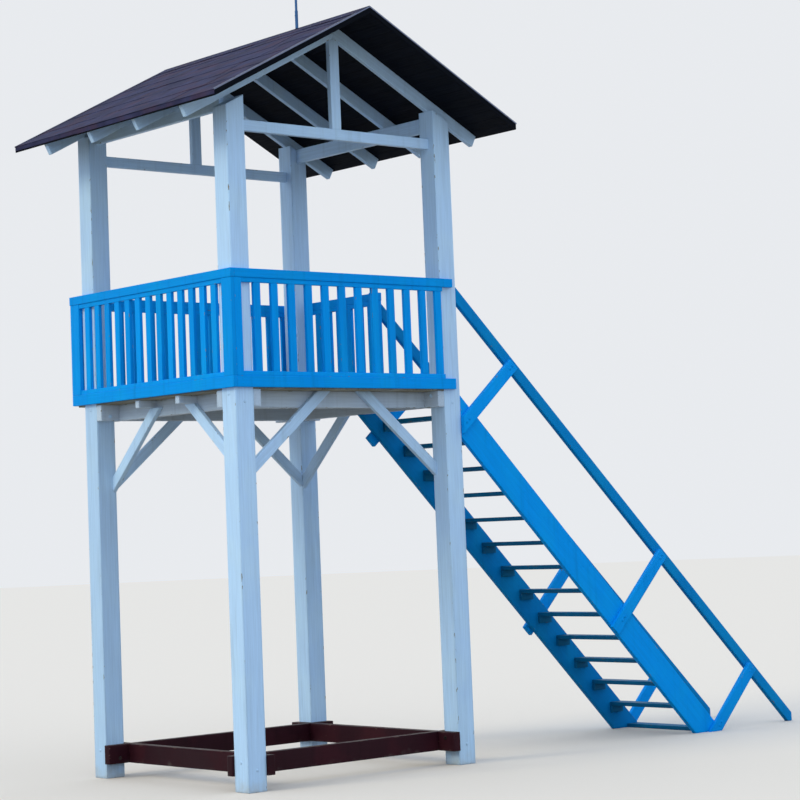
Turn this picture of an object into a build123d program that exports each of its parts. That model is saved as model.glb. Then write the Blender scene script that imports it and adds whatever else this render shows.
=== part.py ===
"""Timber lifeguard tower on four posts, with a railed deck, a gable roof and one open stair.

All sizes are in millimetres. X runs along the front, Y from front to back, Z up from the ground.
Sizes are worked out in a corner frame, with the front left post's outer corner at the origin, and
each piece is moved to the middle of the whole tower when it is written.
"""
import os
from math import hypot, sqrt
from build123d import *

os.makedirs("parts", exist_ok=True)

# Main sizes
width = 2650            # outside to outside of the posts, along X
depth = 2420            # outside to outside of the posts, along Y
post = 200              # posts are square
deck_top = 3540
head_room = 2285        # deck to the underside of the tie beams
ridge_rise = 1155       # underside of the tie beams to the top of the ridge

# Roof covering
roof_pitch = 0.522      # rise over run
roof_t = 60             # boards and covering together
eave_out = 460          # past the posts, left and right
front_out = 470         # past the posts, at the front gable
back_out = 400          # past the posts, at the back gable

# Roof frame
rafter_d = 115
rafter_t = 50
rafter_in = 35          # rafter tails stop this far inside the eave
truss_count = 4
post_gap = 60           # the front left post stops this far under its rafter
plate_w = 50
plate_h = 115
tie_h = 100
tie_t = 50
king_w = 110
king_t = 50
mast_r = 15
mast_h = 1300
mast_y = 614            # from the front face of the posts

# Frames at the foot and under the deck
base_z = 135
base_h = 175
base_out = 20           # beam ends past the posts
beam_t = 80             # beams of both frames
beam_h = 150
joist_w = 60
joist_h = 70
joist_count = 2
deck_t = 40
deck_back = 110         # the deck runs this far past the back posts

# Knee braces: drop of the foot under the deck boards, and reach of the lower edge up to them
brace_w = 100
brace_t = 45
brace_sizes = {
    "front_left": (830, 1000),
    "front_right": (790, 935),
    "back_left": (810, 980),
    "back_right": (820, 930),
    "left_front": (752, 885),
    "left_back": (825, 895),
    "right_back": (835, 910),
}

# Railing, with its boards on the outside of the posts
rail_rise = 1025        # top of the railing above the deck
board_t = 40            # bottom boards and corner boards
fascia_h = 100
fascia_drop = 25        # bottom boards start this far under the deck's surface
cap_h = 80
cap_t = 45
strip_h = 42            # strips over the bottom boards and under the caps
strip_t = 36
baluster_w = 76
baluster_t = 34
front_balusters = 12
back_balusters = 14
side_balusters = 13
gate_balusters = 7
corner_side = 145       # corner boards, width on the left and right
corner_front = 75       # corner boards, width on the front and back
end_short = 75          # front boards stop short of the right post's outer face
first_space = 138       # clear of the corner board to the front's first baluster
last_space = 17         # clear of the right post to the front's last baluster
side_space = 97         # clear of the corner board to a side's first baluster
back_right_space = 5    # clear of the corner board to the back's baluster at its right end
back_left_space = 31    # clear of the corner board to the one at its left end
gate_w = 950            # opening at the head of the stair
gate_end_w = 75         # upright board at the opening
gate_space = 27         # clear of it to the first baluster
gate_post_w = 66

# Stair, at 45 degrees
treads = 14
tread_t = 40
tread_d = 170
tread_back = 190        # tread's rear lower corner inside the stringer's lower edge, along X
stair_drop = 475        # deck's surface to where the stringer's lower edge meets the post
stringer_d = 280
stringer_t = 50
stair_clear = 1105      # between the stringers
cleat_h = 70
cleat_t = 30

# Handrails and their struts
hand_rise = 960         # top of a handrail above the deck, at the post
hand_out = 1525         # foot of a handrail past the stringer's lower edge
hand_foot_z = 90        # top of a handrail at its foot
hand_d = 110
hand_t = 50
strut_w = 125
strut_t = 45
strut_drop = 325        # upper strut under the deck's surface, on the stringer's middle line
strut_rise = 0.86       # upper strut, rise over run; the others are square to the stringer
strut_mid_z = 1228      # middle strut above the ground
strut_foot_z = -32      # foot strut, cut level at the ground
near_tail = 20          # near middle strut past the stringer's lower edge
far_tail = 70           # far upper strut past it
far_mid_tail = 40       # far middle strut past it

# Heights worked out
deck_z = deck_top - deck_t
beam_z = deck_z - beam_h
tie_z = deck_top + head_room
ridge_z = tie_z + ridge_rise
rail_top = deck_top + rail_rise
cap_z = rail_top - cap_h
fascia_z = deck_top - fascia_drop
fascia_top = fascia_z + fascia_h

# Roof worked out: slope_len is the length along the slope for one along X
mid = width / 2
half = mid + eave_out
slope_len = hypot(1, roof_pitch)
roof_plumb = roof_t * slope_len
rafter_plumb = rafter_d * slope_len

# Deck and stair worked out
deck_end = depth + deck_back
gate_y = post + gate_w
riser = (deck_top - tread_t) / treads
low_sum = width + deck_top - stair_drop         # X plus Z on the stringers' lower edge
high_sum = low_sum + stringer_d * sqrt(2)       # X plus Z on the stringers' upper edge
far_y = stringer_t + stair_clear
hand_top = deck_top + hand_rise
hand_foot = low_sum + hand_out
hand_slope = (hand_top - hand_foot_z) / (hand_foot - width)
hand_plumb = hand_d * hypot(1, hand_slope)

# The shared frame has its origin on the ground, in the middle of the tower's whole plan
x_shift = -(hand_foot - eave_out) / 2
y_shift = -(depth + back_out - front_out) / 2


def save(name, shape):
    """Write one piece, moved to the shared frame."""
    shape = Pos(x_shift, y_shift, 0) * shape
    shape.label = name
    export_step(shape, f"parts/{name}.step")


def block(x0, x1, y0, y1, z0, z1):
    """Box between two corners."""
    return Pos((x0 + x1) / 2, (y0 + y1) / 2, (z0 + z1) / 2) * Box(x1 - x0, y1 - y0, z1 - z0)


def prism_xz(points, y0, y1):
    """Outline in X and Z, from y0 to y1."""
    face = make_face(Polyline(*[(x, y0, z) for x, z in points], close=True))
    return extrude(face, amount=y1 - y0, dir=(0, 1, 0))


def prism_yz(points, x0, x1):
    """Outline in Y and Z, from x0 to x1."""
    face = make_face(Polyline(*[(x0, y, z) for y, z in points], close=True))
    return extrude(face, amount=x1 - x0, dir=(1, 0, 0))


def group(parts):
    """Like pieces that don't touch, written together."""
    return Compound(children=list(parts))


def roof_under(x):
    """Height of the covering's underside."""
    return ridge_z - roof_pitch * abs(x - mid) - roof_plumb


def rafter_under(x):
    """Height of the rafters' underside."""
    return roof_under(x) - rafter_plumb


def make_posts():
    """Four posts, their tops cut to the slope of the rafters."""
    for name, x, y, gap in (
        ("post_front_left", 0, 0, post_gap),
        ("post_front_right", width - post, 0, 0),
        ("post_back_left", 0, depth - post, 0),
        ("post_back_right", width - post, depth - post, 0),
    ):
        left, right = rafter_under(x) - gap, rafter_under(x + post) - gap
        save(name, prism_xz([(x, 0), (x + post, 0), (x + post, right), (x, left)], y, y + post))


def crossed_frame(prefix, z0, height, x_out, y_front, y_back):
    """Four beams on the inner faces of the posts, halved where they cross.

    The front and back beams keep their upper half at a crossing, the side beams their lower half.
    """
    z_half = z0 + height / 2
    y_beams = {"front": post, "back": depth - post - beam_t}
    x_beams = {"left": post, "right": width - post - beam_t}
    for side, y in y_beams.items():
        beam = block(-x_out, width + x_out, y, y + beam_t, z0, z0 + height)
        for x in x_beams.values():
            beam -= block(x, x + beam_t, y, y + beam_t, z0, z_half)
        save(f"{prefix}_{side}", beam)
    housings = joist_places() if prefix == "deck_beam" else []
    for side, x in x_beams.items():
        beam = block(x, x + beam_t, -y_front, depth + y_back, z0, z0 + height)
        for y in y_beams.values():
            beam -= block(x, x + beam_t, y, y + beam_t, z_half, z0 + height)
        for y in housings:
            beam -= block(x, x + beam_t, y, y + joist_w, deck_z - joist_h, deck_z)
        save(f"{prefix}_{side}", beam)


def joist_places():
    """Near face of each joist, evenly spaced between the front and back beams."""
    first = post + beam_t / 2
    step = (depth - 2 * first) / (joist_count + 1)
    return [first + step * (i + 1) - joist_w / 2 for i in range(joist_count)]


def make_deck():
    """Joists housed in the side beams, and the deck notched round the posts."""
    joists = []
    for y in joist_places():
        joists.append(block(0, width, y, y + joist_w, deck_z - joist_h, deck_z))
    save("deck_joists", group(joists))
    deck = block(0, width, 0, deck_end, deck_z, deck_top)
    for x in (0, width - post):
        for y in (0, depth - post):
            deck -= block(x, x + post, y, y + post, deck_z, deck_top)
    save("deck_boards", deck)


def brace_outline(foot, way, sizes, head_z):
    """Brace cut plumb against a post and level at head_z, leaning along way."""
    drop, reach = sizes
    length = hypot(reach, drop)
    plumb = brace_w * length / reach
    level = brace_w * length / drop
    foot_z = deck_z - drop
    head = foot + way * reach * (head_z - foot_z) / drop
    return [(foot, foot_z), (foot, foot_z + plumb), (head - way * level, head_z), (head, head_z)]


def make_braces():
    """Knee braces from the posts, on the outer faces of the deck beams.

    Those at the front and back reach up to the deck boards, those at the sides to the joists.
    """
    near, right_post, back_post = post, width - post, depth - post
    for name, foot, way, y in (
        ("front_left", near, 1, post - brace_t),
        ("front_right", right_post, -1, post - brace_t),
        ("back_left", near, 1, back_post),
        ("back_right", right_post, -1, back_post),
    ):
        outline = brace_outline(foot, way, brace_sizes[name], deck_z)
        save(f"brace_{name}", prism_xz(outline, y, y + brace_t))
    for name, foot, way, x in (
        ("left_front", near, 1, post - brace_t),
        ("left_back", back_post, -1, post - brace_t),
        ("right_back", back_post, -1, right_post),
    ):
        outline = brace_outline(foot, way, brace_sizes[name], deck_z - joist_h)
        save(f"brace_{name}", prism_yz(outline, x, x + brace_t))


def fence(length, start, end, first, last, count, board_in=0):
    """Railing panel along X, its inner face on Y 0 and its boards towards -Y.

    The cap runs from 0 to length, and the bottom board stops board_in short of its ends. The strips
    run from start to end, and the middles of the first and last balusters are at first and last.
    """
    panel = block(board_in, length - board_in, -board_t, 0, fascia_z, fascia_top)
    panel += block(0, length, -cap_t, 0, cap_z, rail_top)
    for z in (fascia_top, cap_z - strip_h):
        panel += block(start, end, -strip_t, 0, z, z + strip_h)
    pitch = (last - first) / (count - 1)
    for i in range(count):
        x = first + pitch * i
        panel += block(x - baluster_w / 2, x + baluster_w / 2, -baluster_t, 0,
                       fascia_top + strip_h, cap_z - strip_h)
    return panel


def make_railing():
    """Four railing panels, the corner boards and the post beside the stair's opening."""
    edge = baluster_w / 2
    front_end = width - post
    front = fence(width - end_short, corner_front, front_end,
                  corner_front + first_space + edge, front_end - last_space - edge, front_balusters)
    save("railing_front", front)

    back_run = width + cap_t
    back_start = corner_front + cap_t
    back = fence(back_run, back_start, back_run - corner_front, back_start + back_right_space + edge,
                 back_run - corner_front - back_left_space - edge, back_balusters)
    back = Pos(back_run, deck_end, 0) * Rot(0, 0, 180) * back
    save("railing_back", back)

    side_in = corner_side - board_t
    left = fence(deck_end + 2 * cap_t, side_in + cap_t, deck_end - side_in + cap_t,
                 side_in + cap_t + side_space + edge, deck_end - side_in + cap_t - side_space - edge,
                 side_balusters, cap_t - board_t)
    left = Pos(0, deck_end + cap_t, 0) * Rot(0, 0, -90) * left
    save("railing_left", left)

    gate_run = deck_end - gate_y
    right = fence(gate_run, 0, gate_run - side_in, gate_end_w + gate_space + edge,
                  gate_run - side_in - side_space - edge, gate_balusters)
    right += block(0, gate_end_w, -board_t, 0, fascia_top, cap_z)
    right = Pos(width, gate_y, 0) * Rot(0, 0, 90) * right
    save("railing_right", right)

    corners = []
    for x, way_x, y, way_y in ((0, -1, 0, -1), (0, -1, deck_end, 1), (width, 1, deck_end, 1)):
        side_y0, side_y1 = sorted((y + way_y * board_t, y - way_y * side_in))
        side_x0, side_x1 = sorted((x, x + way_x * board_t))
        front_x0, front_x1 = sorted((x, x - way_x * corner_front))
        front_y0, front_y1 = sorted((y, y + way_y * board_t))
        board = block(side_x0, side_x1, side_y0, side_y1, fascia_top, cap_z)
        board += block(front_x0, front_x1, front_y0, front_y1, fascia_top, cap_z)
        corners.append(board)
    save("railing_corners", group(corners))
    save("gate_post", block(width - gate_post_w, width, gate_y, gate_y + gate_post_w, deck_top, rail_top))


def make_roof_frame():
    """Plates on the posts, tie beams, king posts and rafters that meet at the ridge."""
    plates = []
    for x in (post / 2 - plate_w / 2, width - post / 2 - plate_w / 2):
        x1 = x + plate_w
        low = min(rafter_under(x), rafter_under(x1)) - plate_h
        outline = [(x, low), (x1, low), (x1, rafter_under(x1)), (x, rafter_under(x))]
        plates.append(prism_xz(outline, post, depth - post))
    save("top_plates", group(plates))

    kings = []
    left, right, tie_top = mid - king_w / 2, mid + king_w / 2, tie_z + tie_h
    king = [(left, tie_top), (right, tie_top), (right, rafter_under(right)),
            (mid, rafter_under(mid)), (left, rafter_under(left))]
    for name, y in (("front", post / 2), ("back", depth - post / 2)):
        tie = block(post, width - post, y - tie_t / 2, y + tie_t / 2, tie_z, tie_top)
        save(f"tie_beam_{name}", tie)
        kings.append(prism_xz(king, y - king_t / 2, y + king_t / 2))
    save("king_posts", group(kings))

    step = (depth - post) / (truss_count - 1)
    for side, way in (("left", -1), ("right", 1)):
        end = mid + way * (half - rafter_in)
        heel = end - way * rafter_d * roof_pitch / slope_len
        outline = [(mid, rafter_under(mid)), (mid, roof_under(mid)),
                   (end, roof_under(end)), (heel, rafter_under(heel))]
        rafters = []
        for i in range(truss_count):
            y = post / 2 + step * i
            rafters.append(prism_xz(outline, y - rafter_t / 2, y + rafter_t / 2))
        save(f"rafters_{side}", group(rafters))


def make_roof():
    """Two slopes, cut plumb at the ridge and at the eaves, and the mast on the ridge."""
    for side, way in (("left", -1), ("right", 1)):
        end = mid + way * half
        outline = [(mid, roof_under(mid)), (mid, ridge_z),
                   (end, roof_under(end) + roof_plumb), (end, roof_under(end))]
        save(f"roof_{side}", prism_xz(outline, -front_out, depth + back_out))
    save("mast", Pos(mid, mast_y, ridge_z + mast_h / 2) * Cylinder(mast_r, mast_h))


def make_stringers():
    """Near stringer butted against the front right post, far one cut to seat under the deck."""
    near = [(low_sum, 0), (high_sum, 0), (width, high_sum - width), (width, low_sum - width)]
    save("stringer_near", prism_xz(near, 0, stringer_t))
    seat = width - post
    far = [(low_sum, 0), (high_sum, 0), (high_sum - deck_z, deck_z), (seat, deck_z),
           (seat, beam_z), (low_sum - beam_z, beam_z)]
    save("stringer_far", prism_xz(far, far_y, far_y + stringer_t))


def make_treads():
    """Treads between the stringers, each but the lowest on two cleats."""
    steps, cleats = [], []
    for i in range(1, treads + 1):
        under = deck_top - riser * i - tread_t
        x = low_sum + tread_back - under
        steps.append(block(x, x + tread_d, stringer_t, far_y, under, under + tread_t))
        if i == treads:
            continue
        for y in (stringer_t, far_y - cleat_t):
            cleats.append(block(x, x + tread_d, y, y + cleat_t, under - cleat_h, under))
    save("treads", group(steps))
    save("tread_cleats", group(cleats))


def hand_under(x):
    """Height of a handrail's lower edge."""
    return hand_top - hand_plumb - hand_slope * (x - width)


def strut_places():
    """Height on the stringer's middle line, and rise over run, of the upper, middle and foot strut."""
    return (deck_top - strut_drop, strut_rise), (strut_mid_z, 1), (strut_foot_z, 1)


def strut_outline(z, rise, tail, min_x):
    """Strut from tail past the stringer's lower edge to the handrail's middle line.

    It is cut level at the ground, and plumb where it would pass min_x.
    """
    x = (low_sum + high_sum) / 2 - z
    length = hypot(1, rise)
    sides = []
    for half_w in (strut_w / 2, -strut_w / 2):
        side_x, side_z = x - half_w * rise / length, z + half_w / length
        edge = (low_sum - tail * sqrt(2) - side_x - side_z) / (1 + rise)
        low = max(edge, -side_z / rise, min_x - side_x)
        high = (hand_under(side_x) + hand_plumb / 2 - side_z) / (rise + hand_slope)
        sides.append([(side_x + run, side_z + rise * run) for run in (low, high)])
    (a, b), (c, d) = sides
    return [a, c, d, b]


def make_handrails():
    """Straight handrails, cut level at the ground, on struts square to the stringers."""
    ground_x = width + (hand_top - hand_plumb) / hand_slope
    for name, y, start in (("near", 0, width), ("far", far_y, width + cap_t)):
        outline = [(start, hand_under(start)), (start, hand_under(start) + hand_plumb),
                   (hand_foot, hand_foot_z), (hand_foot, 0), (ground_x, 0)]
        save(f"handrail_{name}", prism_xz(outline, y, y + hand_t))
    near_reach = ((0, width), (near_tail, width), (0, width))
    far_reach = ((far_tail, 0), (far_mid_tail, 0), (0, 0))
    for name, y, reach in (("near", -strut_t, near_reach), ("far", far_y + stringer_t, far_reach)):
        struts = []
        for (z, rise), (tail, min_x) in zip(strut_places(), reach):
            struts.append(prism_xz(strut_outline(z, rise, tail, min_x), y, y + strut_t))
        save(f"struts_{name}", group(struts))


make_posts()
crossed_frame("base_beam", base_z, base_h, base_out, base_out, base_out)
crossed_frame("deck_beam", beam_z, beam_h, 0, 0, deck_back)
make_deck()
make_braces()
make_railing()
make_roof_frame()
make_roof()
make_stringers()
make_treads()
make_handrails()
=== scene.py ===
"""Looks of a timber lifeguard tower: painted softwood frame, felt roof, boarded deck and open stair."""
from math import hypot, radians
import bmesh
import bpy
from mathutils import Matrix, Vector


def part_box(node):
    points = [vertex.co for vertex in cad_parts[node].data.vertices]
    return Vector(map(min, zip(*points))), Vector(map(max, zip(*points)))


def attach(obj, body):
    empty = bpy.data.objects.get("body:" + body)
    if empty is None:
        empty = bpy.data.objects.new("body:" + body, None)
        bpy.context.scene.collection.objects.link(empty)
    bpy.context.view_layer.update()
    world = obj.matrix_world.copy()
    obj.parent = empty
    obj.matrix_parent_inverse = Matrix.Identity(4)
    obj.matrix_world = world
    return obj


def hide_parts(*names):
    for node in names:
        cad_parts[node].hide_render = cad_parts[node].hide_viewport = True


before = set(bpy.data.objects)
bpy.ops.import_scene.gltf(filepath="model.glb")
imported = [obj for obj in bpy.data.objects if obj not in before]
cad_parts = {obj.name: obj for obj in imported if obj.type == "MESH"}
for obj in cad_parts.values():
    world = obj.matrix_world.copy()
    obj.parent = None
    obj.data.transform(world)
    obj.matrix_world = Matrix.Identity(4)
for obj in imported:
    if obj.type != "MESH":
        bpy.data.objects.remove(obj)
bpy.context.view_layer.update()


# Posts
# Four square posts of sawn softwood stand on the ground and run up to the rafters. They are painted
# white by brush; the paint is chalky, chipped at the arrises and dusted with sand near the ground.
def only(piece):
    """Makes one object the selected and active one."""
    bpy.ops.object.select_all(action="DESELECT")
    piece.select_set(True)
    bpy.context.view_layer.objects.active = piece


def rough_timber(node, name):
    """A copy of a node, its loose triangles merged and its flat faces made whole."""
    piece = bpy.data.objects.new(name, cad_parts[node].data.copy())
    bpy.context.scene.collection.objects.link(piece)
    piece.data.materials.clear()
    only(piece)
    bpy.ops.mesh.customdata_custom_splitnormals_clear()
    bpy.ops.object.mode_set(mode="EDIT")
    bpy.ops.mesh.select_all(action="SELECT")
    bpy.ops.mesh.remove_doubles(threshold=0.0002)
    bpy.ops.mesh.dissolve_limited(angle_limit=radians(0.5))
    bpy.ops.object.mode_set(mode="OBJECT")
    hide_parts(node)
    return piece


def edit_faces(piece, wanted):
    """Opens a piece for editing with the wanted faces selected."""
    only(piece)
    bpy.ops.object.mode_set(mode="EDIT")
    bpy.ops.mesh.select_mode(type="FACE")
    bpy.ops.mesh.select_all(action="DESELECT")
    bpy.ops.object.mode_set(mode="OBJECT")
    for face in piece.data.polygons:
        face.select = wanted(face)
    bpy.ops.object.mode_set(mode="EDIT")


def eased(piece, radius, band):
    """Eases a timber's arrises and marks a band beside them, where paint wears first."""
    only(piece)
    mesh = piece.data
    for stand_in in ("face", "arris"):
        mesh.materials.append(bpy.data.materials.get(stand_in) or bpy.data.materials.new(stand_in))
    bevel = piece.modifiers.new("arris", "BEVEL")
    bevel.width = radius
    bevel.segments = 2
    bevel.limit_method = "ANGLE"
    bevel.angle_limit = radians(30)
    bevel.material = 1
    bpy.ops.object.modifier_apply(modifier=bevel.name)
    edit_faces(piece, lambda face: face.material_index == 0)
    bpy.ops.mesh.inset(thickness=band, use_individual=True)
    bpy.ops.object.mode_set(mode="OBJECT")
    worn = mesh.attributes.new("arris", "FLOAT", "POINT")
    for point in worn.data:
        point.value = 1.0
    for face in mesh.polygons:
        if face.select:
            for corner in face.vertices:
                worn.data[corner].value = 0.0
        face.material_index = 0
    mesh.materials.clear()
    bpy.ops.object.shade_smooth_by_angle(angle=radians(35))
    return piece


def sawn(piece, seed):
    """Gives each board of a piece its own grain, along its longest edge, and its own tone."""
    mesh = piece.data
    shape = bmesh.new()
    shape.from_mesh(mesh)
    shape.edges.index_update()
    mesh.attributes.new("grain", "FLOAT_VECTOR", "POINT")
    mesh.attributes.new("tone", "FLOAT", "POINT")
    grain, tone = mesh.attributes["grain"].data, mesh.attributes["tone"].data
    askew = Vector((0.31, 0.95, 0.07))
    seen = set()
    board_number = seed
    for start in shape.verts:
        if start.index in seen:
            continue
        seen.add(start.index)
        waiting, linked = [start], []
        while waiting:
            corner = waiting.pop()
            linked.append(corner)
            for edge in corner.link_edges:
                other = edge.other_vert(corner)
                if other.index not in seen:
                    seen.add(other.index)
                    waiting.append(other)
        edges = {edge for corner in linked for edge in corner.link_edges}
        longest = max(edges, key=lambda edge: (edge.calc_length(), edge.index))
        along = (longest.verts[1].co - longest.verts[0].co).normalized()
        across = Vector((1, 0, 0)) if abs(along.y) > 0.9 else along.cross(askew.cross(along)).normalized()
        across = (across - along * across.dot(along)).normalized()
        third = along.cross(across)
        board_number += 1
        shift = Vector((board_number * 3.71 % 17, board_number * 5.13 % 11, board_number * 7.57 % 13))
        shade = (board_number * 0.618) % 1
        for corner in linked:
            place = Vector((corner.co.dot(along), corner.co.dot(across), corner.co.dot(third)))
            grain[corner.index].vector = place + shift
            tone[corner.index].value = shade
    shape.free()
    return piece


def put(tree, kind, inputs=None, **settings):
    """One shader node; each input is a value or another node's socket."""
    node = tree.nodes.new("ShaderNode" + kind)
    count = len(tree.nodes)
    node.location = (220 * (count % 8), -280 * (count // 8))
    for key, value in settings.items():
        setattr(node, key, value)
    for key, value in (inputs or {}).items():
        if isinstance(value, bpy.types.NodeSocket):
            tree.links.new(value, node.inputs[key])
        else:
            node.inputs[key].default_value = value
    return node


def noise(tree, place, stretch, detail=4.0):
    """Noise whose cells are smaller along an axis the more that axis is stretched."""
    stretched = put(tree, "VectorMath", {0: place, 1: stretch}, operation="MULTIPLY").outputs[0]
    return put(tree, "TexNoise", {"Vector": stretched, "Scale": 1.0, "Detail": detail}).outputs[0]


def worked(tree, operation, *values):
    """One sum or product of two or three values."""
    return put(tree, "Math", dict(enumerate(values)), operation=operation).outputs[0]


def ramp(tree, value, low, high, start=0.0, end=1.0):
    """A value eased from start to end between low and high."""
    levels = {"Value": value, "From Min": low, "From Max": high, "To Min": start, "To Max": end}
    return put(tree, "MapRange", levels, interpolation_type="SMOOTHSTEP").outputs[0]


def spread(tree, tone, low, high):
    """A board's or sheet's own shade, between the darkest and the lightest."""
    return put(tree, "MapRange", {"Value": tone, "To Min": low, "To Max": high}).outputs[0]


def mixed(tree, share, first, second, blend="MIX"):
    """A colour between two others."""
    return put(tree, "Mix", {0: share, 6: first, 7: second}, data_type="RGBA", blend_type=blend).outputs[2]


def shaded(tree, colour, shade):
    """A colour made lighter or darker."""
    return put(tree, "VectorMath", {0: colour, "Scale": shade}, operation="SCALE").outputs[0]


def new_group(name, inputs, outputs):
    """An empty node group with named sockets."""
    tree = bpy.data.node_groups.new(name, "ShaderNodeTree")
    for label, kind in inputs:
        tree.interface.new_socket(label, in_out="INPUT", socket_type="NodeSocket" + kind)
    for label, kind in outputs:
        tree.interface.new_socket(label, in_out="OUTPUT", socket_type="NodeSocket" + kind)
    return tree, tree.nodes.new("NodeGroupInput").outputs, tree.nodes.new("NodeGroupOutput").inputs


def brushed_paint_group():
    """Brush marks, chalking, rain streaks and chips over timber."""
    grime = (0.33, 0.32, 0.30, 1)
    tree, inn, out = new_group(
        "brushed paint",
        [("Grain", "Vector"), ("Place", "Vector"), ("Tone", "Float"), ("Arris", "Float"),
         ("Paint", "Color"), ("Faded", "Color"), ("Bare", "Color"), ("Chipping", "Float"),
         ("Streaks", "Float")],
        [("Colour", "Color"), ("Roughness", "Float"), ("Height", "Float")])
    fibre = noise(tree, inn["Grain"], (2.5, 70, 70), 5)
    brush = noise(tree, inn["Grain"], (6, 260, 260), 2)
    blotch = noise(tree, inn["Place"], (2.6, 2.6, 1.7), 5)
    streak = noise(tree, inn["Place"], (16, 16, 1.1), 4)
    flake = noise(tree, inn["Grain"], (14, 52, 52), 6)
    worn = worked(tree, "MULTIPLY_ADD", inn["Arris"], 0.15, flake)
    patchy = worked(tree, "MULTIPLY_ADD", blotch, 0.3, worn)
    edge = worked(tree, "MULTIPLY_ADD", inn["Chipping"], -0.16, 0.985)
    above = worked(tree, "SUBTRACT", patchy, edge)
    chips = ramp(tree, above, 0.0, 0.025)
    lift = ramp(tree, above, -0.03, 0.0)
    chalk = ramp(tree, blotch, 0.42, 0.68, 0.0, 0.7)
    colour = mixed(tree, chalk, inn["Paint"], inn["Faded"])
    rain = worked(tree, "MULTIPLY", ramp(tree, streak, 0.5, 0.78), inn["Streaks"])
    colour = mixed(tree, rain, colour, grime, "MULTIPLY")
    lines = ramp(tree, fibre, 0.25, 0.75, 0.93, 1.04)
    shade = worked(tree, "MULTIPLY", lines, spread(tree, inn["Tone"], 0.92, 1.05))
    tree.links.new(mixed(tree, chips, shaded(tree, colour, shade), inn["Bare"]), out["Colour"])
    dull = ramp(tree, blotch, 0.3, 0.7, 0.46, 0.66)
    tree.links.new(worked(tree, "MULTIPLY_ADD", chips, 0.25, dull), out["Roughness"])
    strokes = worked(tree, "MULTIPLY", brush, 0.25)
    height = worked(tree, "MULTIPLY_ADD", fibre, 0.55, strokes)
    raised = worked(tree, "ADD", height, worked(tree, "MULTIPLY", lift, 0.35))
    tree.links.new(worked(tree, "SUBTRACT", raised, chips), out["Height"])
    return tree


def blown_sand_group():
    """Pale sand and dust, on faces that look up and on whatever is near the ground."""
    dry_sand = (0.50, 0.42, 0.33, 1)
    tree, inn, out = new_group(
        "blown sand",
        [("Place", "Vector"), ("Facing", "Vector"), ("Colour", "Color"), ("Roughness", "Float"),
         ("Reach", "Float"), ("Settled", "Float")],
        [("Colour", "Color"), ("Roughness", "Float")])
    height = put(tree, "SeparateXYZ", {0: inn["Place"]}).outputs[2]
    upward = put(tree, "SeparateXYZ", {0: inn["Facing"]}).outputs[2]
    grains = noise(tree, inn["Place"], (9, 9, 9), 6)
    top = worked(tree, "ADD", inn["Reach"], worked(tree, "MULTIPLY", grains, 0.25))
    splash = ramp(tree, worked(tree, "SUBTRACT", top, height), 0.0, 0.22, 0.0, 0.65)
    laid = worked(tree, "MULTIPLY", ramp(tree, upward, 0.6, 0.95), inn["Settled"])
    laid = worked(tree, "MULTIPLY", laid, ramp(tree, grains, 0.3, 0.6))
    share = worked(tree, "MAXIMUM", splash, laid)
    tree.links.new(mixed(tree, share, inn["Colour"], dry_sand), out["Colour"])
    tree.links.new(worked(tree, "MULTIPLY_ADD", share, 0.3, inn["Roughness"]), out["Roughness"])
    return tree


paint_group = brushed_paint_group()
sand_group = blown_sand_group()


def grouped(tree, group, inputs):
    """A node group placed in a material with its own values."""
    return put(tree, "Group", inputs, node_tree=group).outputs


def new_material(name):
    """A material, its node tree and its shader's inputs."""
    material = bpy.data.materials.new(name)
    material.use_nodes = True
    tree = material.node_tree
    return material, tree, tree.nodes["Principled BSDF"].inputs


def bumped(tree, shader, height, strength, distance):
    """Relief on a material, from a height and its depth in metres."""
    bump = put(tree, "Bump", {"Strength": strength, "Distance": distance, "Height": height})
    tree.links.new(bump.outputs[0], shader["Normal"])


def timber_material(name, group, look, reach, settled, gloss, relief):
    """Timber finished by one of the node groups, with sand blown on it."""
    material, tree, shader = new_material(name)
    place = put(tree, "TexCoord").outputs["Object"]
    finish = grouped(tree, group, {
        "Grain": put(tree, "Attribute", attribute_name="grain").outputs["Vector"],
        "Place": place,
        "Tone": put(tree, "Attribute", attribute_name="tone").outputs["Fac"],
        "Arris": put(tree, "Attribute", attribute_name="arris").outputs["Fac"], **look})
    sand = grouped(tree, sand_group, {
        "Place": place, "Facing": put(tree, "NewGeometry").outputs["Normal"],
        "Colour": finish["Colour"], "Roughness": finish["Roughness"],
        "Reach": reach, "Settled": settled})
    tree.links.new(sand["Colour"], shader["Base Color"])
    tree.links.new(sand["Roughness"], shader["Roughness"])
    shader["Specular IOR Level"].default_value = gloss
    bumped(tree, shader, finish["Height"], *relief)
    return material


def painted(name, paint, faded, bare, chipping, streaks, reach, settled, gloss):
    """Brushed paint over sawn softwood."""
    look = {"Paint": (*paint, 1), "Faded": (*faded, 1), "Bare": (*bare, 1),
            "Chipping": chipping, "Streaks": streaks}
    return timber_material(name, paint_group, look, reach, settled, gloss, (0.7, 0.0012))


def fitted(piece, material):
    """Finish and place in the tower for a piece."""
    piece.data.materials.append(material)
    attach(piece, "root")


def finished(piece, material, seed):
    """Grain, finish and place in the tower for a piece made of boards or sheets."""
    fitted(sawn(piece, seed), material)


def timber(node, name, radius, band, material, seed):
    """A finished timber that stands for a node, its arrises eased."""
    finished(eased(rough_timber(node, name), radius, band), material, seed)


grey_wood = (0.30, 0.25, 0.20)
# The white paint's blue tint is painted light: it stands for blue sky light on the shaded faces of paint
# that is white.
sky_tinted_white_paint = painted("white paint", (0.60, 0.74, 0.92), (0.66, 0.79, 0.91), grey_wood,
                      chipping=0.28, streaks=0.16, reach=0.02, settled=0.15, gloss=0.3)
for number, corner in enumerate(("front_left", "front_right", "back_left", "back_right")):
    timber("post_" + corner, "square_post_" + corner, 0.006, 0.018, sky_tinted_white_paint, 10 + number)


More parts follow.
